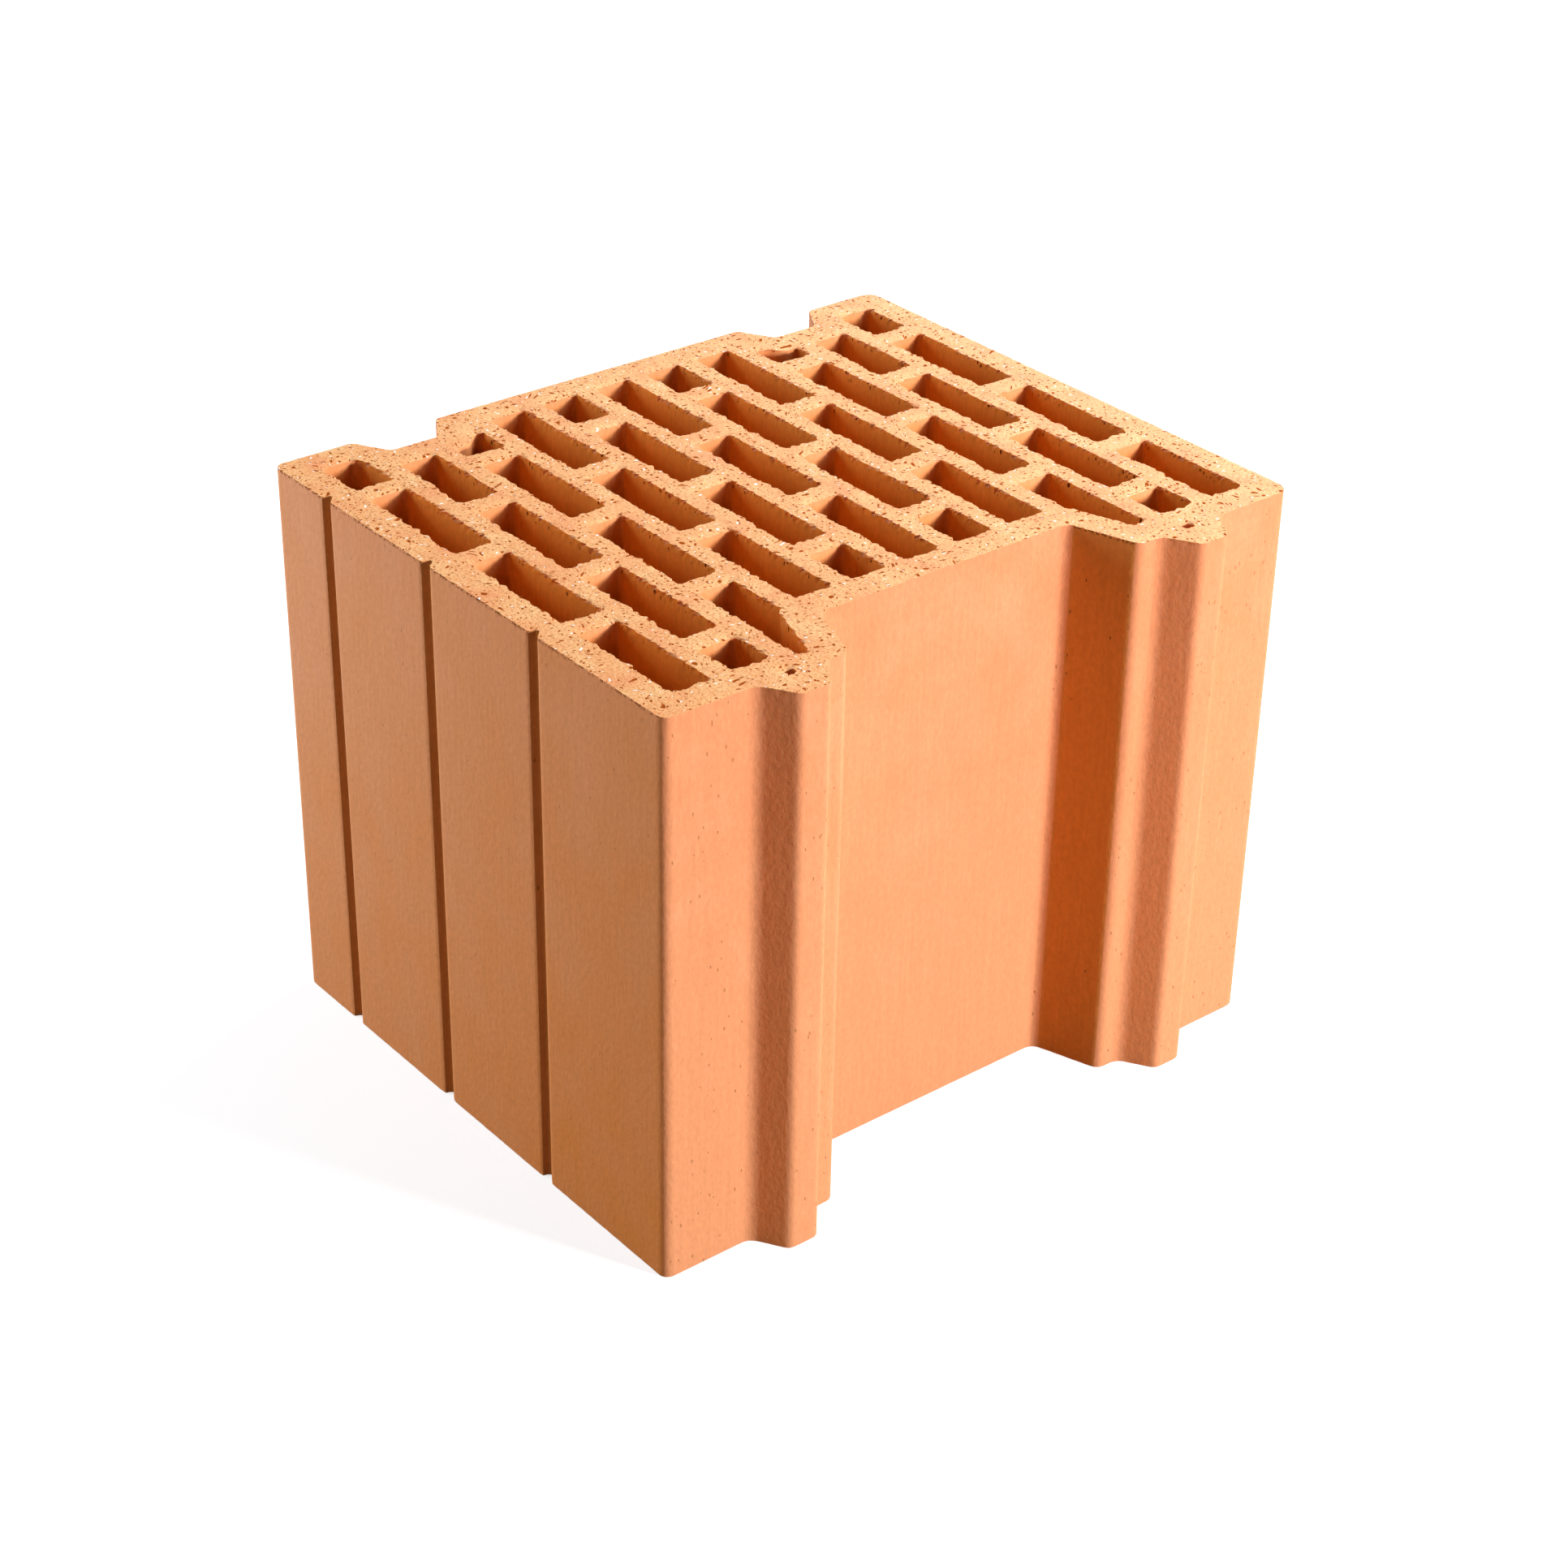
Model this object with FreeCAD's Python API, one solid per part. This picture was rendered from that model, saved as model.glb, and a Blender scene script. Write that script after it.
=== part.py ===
import FreeCAD, Part
import math
import os

from FreeCAD import Vector

# Hollow clay block for a wall one block thick, extruded through a die and fired as one piece.
# Sizes in millimetres. X runs along the wall, Y through its thickness, Z up the courses.
# The origin is the centre of the bounding box's foot, so the part stands on the bed face.

# The block between its head faces, wall faces and bed faces
LENGTH = 250.0
WIDTH = 300.0
HEIGHT = 238.0

# Slots: rows of cores through the whole height, laid out like bricks in running bond
SHELL = 13.0
SLOT_LENGTH = 59.0
SLOT_WIDTH = 17.0
WEB = 9.0
LEAST_RIB = 8.0
LEAST_CORE = 8.0
SLOT_CORNER_R = 2.0
TIP_COVER = 4.0

# Tongues on one head face, which go with play into the grooves of the next block's other head face
TONGUE_INSET = 54.5
TONGUE_BASE = 30.5
TONGUE_NOSE = 13.0
TONGUE_HEIGHT = 14.0
TONGUE_NOSE_R = 3.0
TONGUE_ROOT_R = 6.0
GROOVE_SIDE_PLAY = 4.25
GROOVE_END_PLAY = 1.0
GROOVE_FLOOR_R = 2.5
PIN_HOLE_R = 2.4
PIN_HOLE_INSET = 0.6

# Clay left thicker beside a groove, on the side towards the middle of the block
GUARD_REACH = 22.0
GUARD_SLANT = 11.5

# Recess between the tongues, which makes a pocket in the joint between two blocks
RECESS_DEPTH = 29.0
RECESS_LAND = 80.0
RECESS_FLANK = 10.0
RECESS_LIP_R = 4.0
RECESS_FLOOR_R = 5.0

# Keying grooves down one wall face, with a steep wall and a slanted one
KEY_COUNT = 3
KEY_FIRST = 38.0
KEY_WIDTH = 5.6
KEY_FLOOR = 2.0
KEY_LEAN = 0.4
KEY_DEPTH = 3.4
KEY_MOUTH_R = 0.6
KEY_FLOOR_R = 0.9

# Rounded upright edges of the grooved wall face and of the plain one
KEYED_EDGE_R = 3.5
PLAIN_EDGE_R = 5.5


def rounded_wire(corners):
    """Closed wire through corners (x, y, radius), with a tangent arc at each corner that has a radius."""
    points = [Vector(x, y, 0) for x, y, _ in corners]
    radii = [radius for _, _, radius in corners]
    bends = []
    for i, here in enumerate(points):
        back = points[i - 1] - here
        ahead = points[(i + 1) % len(points)] - here
        half_turn = back.getAngle(ahead) / 2
        most = 0.45 * min(back.Length, ahead.Length)
        reach = min(radii[i] / math.tan(half_turn), most)
        radius = reach * math.tan(half_turn)
        back.normalize()
        ahead.normalize()
        middle = (back + ahead).normalize() if reach else Vector()
        crown = here + middle * (radius / math.sin(half_turn) - radius)
        bends.append((here + back * reach, crown, here + ahead * reach))
    edges = []
    for (_, _, leave), (enter, crown, away) in zip(bends[-1:] + bends[:-1], bends):
        edges.append(Part.LineSegment(leave, enter).toShape())
        if enter.distanceToPoint(away) > 0:
            edges.append(Part.Arc(enter, crown, away).toShape())
    return Part.Wire(edges)


def mirrored(corners):
    """The same corners on the other side of the block's middle plane, in reverse order."""
    return [(x, WIDTH - y, radius) for x, y, radius in reversed(corners)]


def groove_corners():
    """One groove of the plain head face, from its outer lip to its inner one."""
    mouth = TONGUE_BASE / 2 + GROOVE_SIDE_PLAY
    floor = TONGUE_NOSE / 2 + GROOVE_SIDE_PLAY
    depth = TONGUE_HEIGHT + GROOVE_END_PLAY
    return [
        (0, TONGUE_INSET - mouth, GROOVE_FLOOR_R),
        (depth, TONGUE_INSET - floor, GROOVE_FLOOR_R),
        (depth, TONGUE_INSET + floor, GROOVE_FLOOR_R),
        (0, TONGUE_INSET + mouth, GROOVE_FLOOR_R),
    ]


def tongue_corners():
    """One tongue of the other head face, from its outer root to its inner one."""
    nose = LENGTH + TONGUE_HEIGHT
    return [
        (LENGTH, TONGUE_INSET - TONGUE_BASE / 2, TONGUE_ROOT_R),
        (nose, TONGUE_INSET - TONGUE_NOSE / 2, TONGUE_NOSE_R),
        (nose, TONGUE_INSET + TONGUE_NOSE / 2, TONGUE_NOSE_R),
        (LENGTH, TONGUE_INSET + TONGUE_BASE / 2, TONGUE_ROOT_R),
    ]


def recess_corners():
    """The near half of the recess: its lip and the foot of its flank."""
    floor = LENGTH - RECESS_DEPTH
    return [(LENGTH, RECESS_LAND, RECESS_LIP_R), (floor, RECESS_LAND + RECESS_FLANK, RECESS_FLOOR_R)]


def key_corners():
    """The keying grooves of the wall face at Y 0, in order of X, each on the pitch of the bond."""
    corners = []
    for i in range(KEY_COUNT):
        left = KEY_FIRST + i * (SLOT_LENGTH + WEB) - KEY_WIDTH / 2
        floor = left + KEY_LEAN
        corners += [
            (left, 0, KEY_MOUTH_R),
            (floor, KEY_DEPTH, KEY_FLOOR_R),
            (floor + KEY_FLOOR, KEY_DEPTH, KEY_FLOOR_R),
            (left + KEY_WIDTH, 0, KEY_MOUTH_R),
        ]
    return corners


def outline():
    """The section's outer wire, with tongues, grooves, recess and keying grooves."""
    near_end = tongue_corners() + recess_corners()
    corners = [(0, 0, KEYED_EDGE_R)] + key_corners() + [(LENGTH, 0, KEYED_EDGE_R)]
    corners += near_end + mirrored(near_end)
    corners += [(LENGTH, WIDTH, PLAIN_EDGE_R), (0, WIDTH, PLAIN_EDGE_R)]
    corners += reversed(groove_corners() + mirrored(groove_corners()))
    return rounded_wire(corners)


def core_zone():
    """Where cores may stand: the section without tongues and keying grooves, a shell's thickness in."""
    corners = [(0, 0, 0), (LENGTH, 0, 0)] + recess_corners() + mirrored(recess_corners())
    corners += [(LENGTH, WIDTH, 0), (0, WIDTH, 0)]
    corners += reversed(groove_corners() + mirrored(groove_corners()))
    zone = Part.Face(rounded_wire([(x, y, 0) for x, y, _ in corners])).makeOffset2D(-SHELL)
    floor_edge = TONGUE_INSET + TONGUE_NOSE / 2 + GROOVE_SIDE_PLAY
    wall = TONGUE_HEIGHT + GROOVE_END_PLAY + SHELL
    guard = [
        (0, TONGUE_INSET, 0),
        (wall, TONGUE_INSET, 0),
        (wall, floor_edge, 0),
        (wall - GUARD_SLANT, floor_edge + GUARD_REACH, 0),
        (0, floor_edge + GUARD_REACH, 0),
    ]
    zone = zone.fuse(tip_zone()).removeSplitter()
    return zone.cut([Part.Face(rounded_wire(guard)), Part.Face(rounded_wire(mirrored(guard)))])


def tip_zone():
    """Where the slot beside the near flank of the recess runs on into the tongue, a shell's thickness off."""
    slope = RECESS_FLANK / RECESS_DEPTH
    foot = TONGUE_INSET + TONGUE_NOSE / 2
    start, end = LENGTH - SHELL, LENGTH - TIP_COVER
    clear = RECESS_LAND - SHELL * math.hypot(1, slope)
    corners = [(start, foot, 0), (end, foot, 0), (end, clear + slope * TIP_COVER, 0), (start, clear + slope * SHELL, 0)]
    return Part.Face(rounded_wire(corners))


def slot_faces():
    """Each core's section: the running bond cut off where the core zone ends, with rounded corners."""
    zone = core_zone()
    room = WIDTH - 2 * SHELL
    pairs = math.floor((room - SLOT_WIDTH) / (SLOT_WIDTH + LEAST_RIB) / 2)
    rows = 2 * pairs + 1
    row_pitch = (room - SLOT_WIDTH) / (rows - 1)
    bond_pitch = SLOT_LENGTH + WEB
    slots = []
    for row in range(rows):
        low = SHELL + row * row_pitch
        left = SHELL - bond_pitch / 2 * ((row - pairs) % 2)
        while left < LENGTH:
            rectangle = Part.makePlane(SLOT_LENGTH, SLOT_WIDTH, Vector(left, low, 0))
            slots += rectangle.common(zone).Faces
            left += bond_pitch
    slots = [slot for slot in slots if slot.BoundBox.XLength >= LEAST_CORE]
    return [slot.makeOffset2D(-SLOT_CORNER_R).makeOffset2D(SLOT_CORNER_R) for slot in slots]


def pin_holes():
    """The small round hole at the root of each tongue."""
    along = LENGTH - PIN_HOLE_INSET
    centres = [Vector(along, TONGUE_INSET, 0), Vector(along, WIDTH - TONGUE_INSET, 0)]
    return [Part.Wire(Part.makeCircle(PIN_HOLE_R, centre)) for centre in centres]


def block():
    """The section extruded to the height that the wire cuts it to, set on the part's origin."""
    holes = [face.OuterWire for face in slot_faces()] + pin_holes()
    section = Part.makeFace([outline()] + holes, "Part::FaceMakerBullseye")
    solid = section.extrude(Vector(0, 0, HEIGHT))
    solid.translate(Vector(-(LENGTH + TONGUE_HEIGHT) / 2, -WIDTH / 2, 0))
    return solid


os.makedirs("parts", exist_ok=True)
block().exportStep("parts/hollow_clay_block.step")
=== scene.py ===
"""Looks of the hollow clay block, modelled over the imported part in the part's own frame.

The block is one fired piece: a column of clay pressed through a die, cut off by a wire, dried and fired.
The die left smooth walls with upright drag lines, and the wire left torn mouths round the cores and a
crumbly face full of pores and pale grains.
"""

import logging
import math
from collections.abc import Iterable
from dataclasses import dataclass, field
from enum import Enum, IntEnum

import bmesh
import bpy
import numpy as np
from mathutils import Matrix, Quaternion, Vector, geometry, kdtree


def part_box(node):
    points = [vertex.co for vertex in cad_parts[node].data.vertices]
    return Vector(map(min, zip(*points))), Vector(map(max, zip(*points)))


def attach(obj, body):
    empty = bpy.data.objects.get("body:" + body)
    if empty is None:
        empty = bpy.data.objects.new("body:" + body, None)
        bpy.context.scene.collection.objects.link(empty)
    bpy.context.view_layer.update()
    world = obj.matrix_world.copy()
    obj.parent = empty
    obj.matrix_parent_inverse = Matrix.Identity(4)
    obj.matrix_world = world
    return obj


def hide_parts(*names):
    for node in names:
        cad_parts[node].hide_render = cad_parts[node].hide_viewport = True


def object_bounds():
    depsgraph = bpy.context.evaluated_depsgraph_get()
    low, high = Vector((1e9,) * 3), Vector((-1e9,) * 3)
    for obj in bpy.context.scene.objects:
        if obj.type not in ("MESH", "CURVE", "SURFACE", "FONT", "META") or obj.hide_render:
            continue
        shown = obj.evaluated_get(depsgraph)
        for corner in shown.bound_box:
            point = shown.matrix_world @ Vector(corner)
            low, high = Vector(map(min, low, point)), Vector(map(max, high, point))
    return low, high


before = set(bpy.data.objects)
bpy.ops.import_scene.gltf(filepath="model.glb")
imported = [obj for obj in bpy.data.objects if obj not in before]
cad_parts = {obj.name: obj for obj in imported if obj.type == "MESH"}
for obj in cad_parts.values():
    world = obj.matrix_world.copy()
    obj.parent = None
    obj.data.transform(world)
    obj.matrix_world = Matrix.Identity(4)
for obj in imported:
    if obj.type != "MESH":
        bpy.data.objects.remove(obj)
CAD_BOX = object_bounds()

MM = 0.001
BLOCK_NODE = "hollow_clay_block"
PIECE = "fired_clay_block"
BODY = "root"
SEED = 7
BLOCK_HEIGHT_MM = (CAD_BOX[1].z - CAD_BOX[0].z) / MM

Socket = bpy.types.NodeSocket
Colour = tuple[float, float, float, float]

log = logging.getLogger(BLOCK_NODE)


class Finish(IntEnum):
    """The block's kinds of surface, in the order of its material slots."""

    WIRE_CUT = 0
    SKIN = 1
    CORE = 2
    # Skin with painted shade: the keying grooves and the far flank of the +X end.
    SHADED_HOLLOW = 3


class Spread(Enum):
    """How spots are laid out: in plan, for level faces, or in space, for upright ones."""

    IN_PLAN = "2D"
    IN_SPACE = "3D"


def linear(colour: str) -> Colour:
    """Turn an sRGB hex colour into Blender's linear one.

    Args:
        colour: Six hex digits after a hash sign.

    Returns:
        Red, green, blue and alpha.
    """
    shares = [int(colour[i:i + 2], 16) / 255 for i in (1, 3, 5)]
    red, green, blue = [s / 12.92 if s <= 0.04045 else ((s + 0.055) / 1.055) ** 2.4 for s in shares]
    return red, green, blue, 1.0


def add_node(tree: bpy.types.NodeTree, kind: str, settings: dict | None = None,
             feeds: dict | None = None) -> bpy.types.Node:
    """Add a node with its settings and with what feeds its inputs.

    Args:
        tree: The tree that gets the node.
        kind: Blender's name for the type of node.
        settings: Values for the node's own properties, by name.
        feeds: A value or another node's output for each input, by the input's name or number.

    Returns:
        The new node.
    """
    node = tree.nodes.new(kind)
    for name, value in (settings or {}).items():
        setattr(node, name, value)
    for key, value in (feeds or {}).items():
        if isinstance(value, Socket):
            tree.links.new(value, node.inputs[key])
        else:
            node.inputs[key].default_value = value
    return node


def empty_material(name: str) -> bpy.types.Material:
    """Make a material that has no nodes yet.

    Args:
        name: Its name.

    Returns:
        The new material.
    """
    material = bpy.data.materials.new(name)
    material.use_nodes = True
    material.node_tree.nodes.clear()
    return material


def put_in_scene(name: str, data: bpy.types.ID) -> bpy.types.Object:
    """Make an object of a mesh, a lamp or a camera and link it to the scene.

    Args:
        name: The object's name.
        data: What the object shows.

    Returns:
        The new object.
    """
    made = bpy.data.objects.new(name, data)
    bpy.context.scene.collection.objects.link(made)
    return made


def point_tree(points: np.ndarray) -> kdtree.KDTree:
    """Sort points in plan, so that the nearest one is found quickly.

    Args:
        points: The points, one row each.

    Returns:
        The tree, in which a point's number is its row.
    """
    tree = kdtree.KDTree(len(points))
    for row, (x, y) in enumerate(points):
        tree.insert((x, y, 0), row)
    tree.balance()
    return tree


@dataclass(frozen=True)
class ClayColours:
    """Colours of one clay surface: body, darker and paler patches, and pores, which on extruded walls are
    torn lips with painted shade.
    """

    body: str
    deep: str
    pale: str
    pore_and_torn_shade: str


@dataclass(frozen=True)
class Spots:
    """A kind of spot in the clay, of all widths from a share of the largest up to it.

    The pitch is that of the places for a spot, and the share is that of the places taken. A spot's edge
    fades between two shares of its radius. Real pores and grains go down to dust, and the smallest ones
    here are drawn coarser than that, so that they show.
    """

    size_mm: float
    pitch_mm: float
    share: float
    stretch: tuple[float, float, float] = (1.0, 1.0, 1.0)
    spread: Spread = Spread.IN_SPACE
    smallest: float = 0.4
    fade: tuple[float, float] = (1.15, 0.7)


@dataclass(kw_only=True)
class ClayMaterial:
    """Base of the block's finishes: fired clay, matt, with patches, spots and relief in real sizes.

    The ranges say between which values of the noise a darker or a paler patch sets in.
    """

    name: str
    colours: ClayColours
    roughness: float
    gloss: float
    patch_mm: float
    ior: float = 1.5
    deep_range: tuple[float, float] = (0.48, 0.72)
    pale_range: tuple[float, float] = (0.52, 0.28)
    tree: bpy.types.NodeTree = field(init=False)
    place: Socket = field(init=False)

    def start(self) -> bpy.types.Material:
        """Make the empty material and the coordinates that its patterns read.

        Returns:
            The new material.
        """
        material = empty_material(self.name)
        self.tree = material.node_tree
        self.place = add_node(self.tree, "ShaderNodeTexCoord").outputs["Object"]
        return material

    def layered(self, base: Socket | Colour, layers: Iterable[tuple[Socket, Socket | Colour]]) -> Socket:
        """Lay colours over one another, each where its mask says.

        Args:
            base: The lowest colour.
            layers: A mask and a colour for each layer, from the lowest up.

        Returns:
            The blended colour.
        """
        colour = base
        for mask, cover in layers:
            colour = add_node(self.tree, "ShaderNodeMix", {"data_type": "RGBA"},
                              {0: mask, 6: colour, 7: cover}).outputs[2]
        return colour

    def patches(self) -> Socket:
        """Blend the body colour with its deep and pale patches.

        Returns:
            The mottled colour.
        """
        broad = add_node(self.tree, "ShaderNodeTexNoise", None,
                         {"Vector": self.place, "Scale": 1 / (self.patch_mm * MM), "Detail": 4.0,
                          "Roughness": 0.6})
        masks = [add_node(self.tree, "ShaderNodeMapRange", {"interpolation_type": "SMOOTHSTEP"},
                          {"Value": broad.outputs["Fac"], "From Min": start,
                           "From Max": full}).outputs["Result"]
                 for start, full in (self.deep_range, self.pale_range)]
        covers = [linear(self.colours.deep), linear(self.colours.pale)]
        return self.layered(linear(self.colours.body), zip(masks, covers))

    def swayed(self, place: Socket, length_mm: float, reach_mm: float) -> Socket:
        """Bend coordinates, so that what is drawn in them winds or gets a ragged edge.

        Args:
            place: The coordinates.
            length_mm: Length of a bend.
            reach_mm: How far a bend moves things.

        Returns:
            The bent coordinates.
        """
        noise = add_node(self.tree, "ShaderNodeTexNoise", None,
                         {"Vector": place, "Scale": 1 / (length_mm * MM), "Detail": 1.0})
        centred = add_node(self.tree, "ShaderNodeVectorMath", {"operation": "SUBTRACT"},
                           {0: noise.outputs["Color"], 1: (0.5, 0.5, 0.5)})
        return add_node(self.tree, "ShaderNodeVectorMath", {"operation": "MULTIPLY_ADD"},
                        {0: centred.outputs["Vector"], 1: (reach_mm * MM,) * 3, 2: place}).outputs["Vector"]

    def spots(self, kind: Spots, place: Socket) -> Socket:
        """Scatter spots such as pores, grains and pits.

        Args:
            kind: Their sizes and number.
            place: The coordinates.

        Returns:
            A mask that is 1 in a spot.
        """
        scale = [1 / (kind.pitch_mm * MM * stretch) for stretch in kind.stretch]
        squeezed = add_node(self.tree, "ShaderNodeMapping", None, {"Vector": place, "Scale": scale})
        cells = add_node(self.tree, "ShaderNodeTexVoronoi", {"voronoi_dimensions": kind.spread.value},
                         {"Vector": squeezed.outputs["Vector"], "Scale": 1.0})
        draw = add_node(self.tree, "ShaderNodeSeparateColor", None, {"Color": cells.outputs["Color"]})
        largest = kind.size_mm / kind.pitch_mm / 2
        size = add_node(self.tree, "ShaderNodeMapRange", None,
                        {"Value": draw.outputs["Green"], "To Min": largest * kind.smallest,
                         "To Max": largest})
        reach = add_node(self.tree, "ShaderNodeMath", {"operation": "DIVIDE"},
                         {0: cells.outputs["Distance"], 1: size.outputs["Result"]})
        outer, inner = kind.fade
        inside = add_node(self.tree, "ShaderNodeMapRange", {"interpolation_type": "SMOOTHSTEP"},
                          {"Value": reach.outputs["Value"], "From Min": outer, "From Max": inner})
        chosen = add_node(self.tree, "ShaderNodeMath", {"operation": "LESS_THAN"},
                          {0: draw.outputs["Red"], 1: kind.share})
        return add_node(self.tree, "ShaderNodeMath", {"operation": "MULTIPLY"},
                        {0: inside.outputs["Result"], 1: chosen.outputs["Value"]}).outputs["Value"]

    def finish(self, colour: Socket, height_mm: Socket) -> None:
        """Close the material with its shader.

        Args:
            colour: The finished colour.
            height_mm: Relief in millimetres.
        """
        bump = add_node(self.tree, "ShaderNodeBump", None,
                        {"Height": height_mm, "Strength": 1.0, "Distance": MM})
        shader = add_node(self.tree, "ShaderNodeBsdfPrincipled", None,
                          {"Base Color": colour, "Roughness": self.roughness, "IOR": self.ior,
                           "Specular IOR Level": self.gloss, "Normal": bump.outputs["Normal"]})
        add_node(self.tree, "ShaderNodeOutputMaterial", None, {"Surface": shader.outputs["BSDF"]})


@dataclass(kw_only=True)
class WireCutClay(ClayMaterial):
    """Fired clay where the wire cut it: sandy, open and crumbly.

    The wire drew pores and grains out into winding shapes with ragged edges.
    """

    grit: str
    # Painted light: the tint that the cut faces pale to towards +Y.
    far_light_tint: str
    grain: str
    far_light_share: float = 0.13
    grit_mm: float = 1.1
    grit_range: tuple[float, float] = (0.55, 0.33)
    grit_share: float = 0.85
    grit_relief_mm: float = 0.25
    winding_length_mm: float = 14.0
    winding_reach_mm: float = 12.0
    ragged_reach_mm: float = 0.7
    pores: Spots = Spots(1.7, 3.8, 0.4, spread=Spread.IN_PLAN)
    pinholes: Spots = Spots(1.0, 1.9, 0.36, spread=Spread.IN_PLAN)
    grains: Spots = Spots(1.1, 3.1, 0.23, spread=Spread.IN_PLAN)
    pore_depth_mm: float = 0.04

    def painted_far_light(self) -> Socket:
        """Work out the share of the paler tint towards +Y: painted light, the cut faces lit brighter at the
        far side.

        Returns:
            The share.
        """
        low, high = CAD_BOX
        across = add_node(self.tree, "ShaderNodeSeparateXYZ", None, {"Vector": self.place})
        return add_node(self.tree, "ShaderNodeMapRange", None,
                        {"Value": across.outputs["Y"], "From Min": low.y, "From Max": high.y,
                         "To Max": self.far_light_share}).outputs["Result"]

    def build(self) -> bpy.types.Material:
        """Make the material: sandy patches and grit, painted light towards +Y, dark pores drawn out by the
        wire, pale lime grains.

        Returns:
            The new material.
        """
        material = self.start()
        tree = self.tree
        winding = self.swayed(self.place, self.winding_length_mm, self.winding_reach_mm)
        ragged = self.swayed(winding, self.grit_mm, self.ragged_reach_mm)
        pores = add_node(tree, "ShaderNodeMath", {"operation": "MAXIMUM"},
                         {0: self.spots(self.pores, ragged),
                          1: self.spots(self.pinholes, ragged)}).outputs["Value"]
        grains = self.spots(self.grains, ragged)
        grit = add_node(tree, "ShaderNodeTexNoise", None,
                        {"Vector": self.place, "Scale": 1 / (self.grit_mm * MM), "Detail": 3.0,
                         "Roughness": 0.65}).outputs["Fac"]
        start, full = self.grit_range
        shade = add_node(tree, "ShaderNodeMapRange", None,
                         {"Value": grit, "From Min": start, "From Max": full, "To Max": self.grit_share})
        colour = self.layered(self.patches(), [
            (shade.outputs["Result"], linear(self.grit)),
            (self.painted_far_light(), linear(self.far_light_tint)),
            (pores, linear(self.colours.pore_and_torn_shade)),
            (grains, linear(self.grain)),
        ])
        rough = add_node(tree, "ShaderNodeMath", {"operation": "MULTIPLY"},
                         {0: grit, 1: self.grit_relief_mm})
        pitted = add_node(tree, "ShaderNodeMath", {"operation": "MULTIPLY_ADD"},
                          {0: pores, 1: -self.pore_depth_mm, 2: rough.outputs["Value"]})
        self.finish(colour, pitted.outputs["Value"])
        return material


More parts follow.
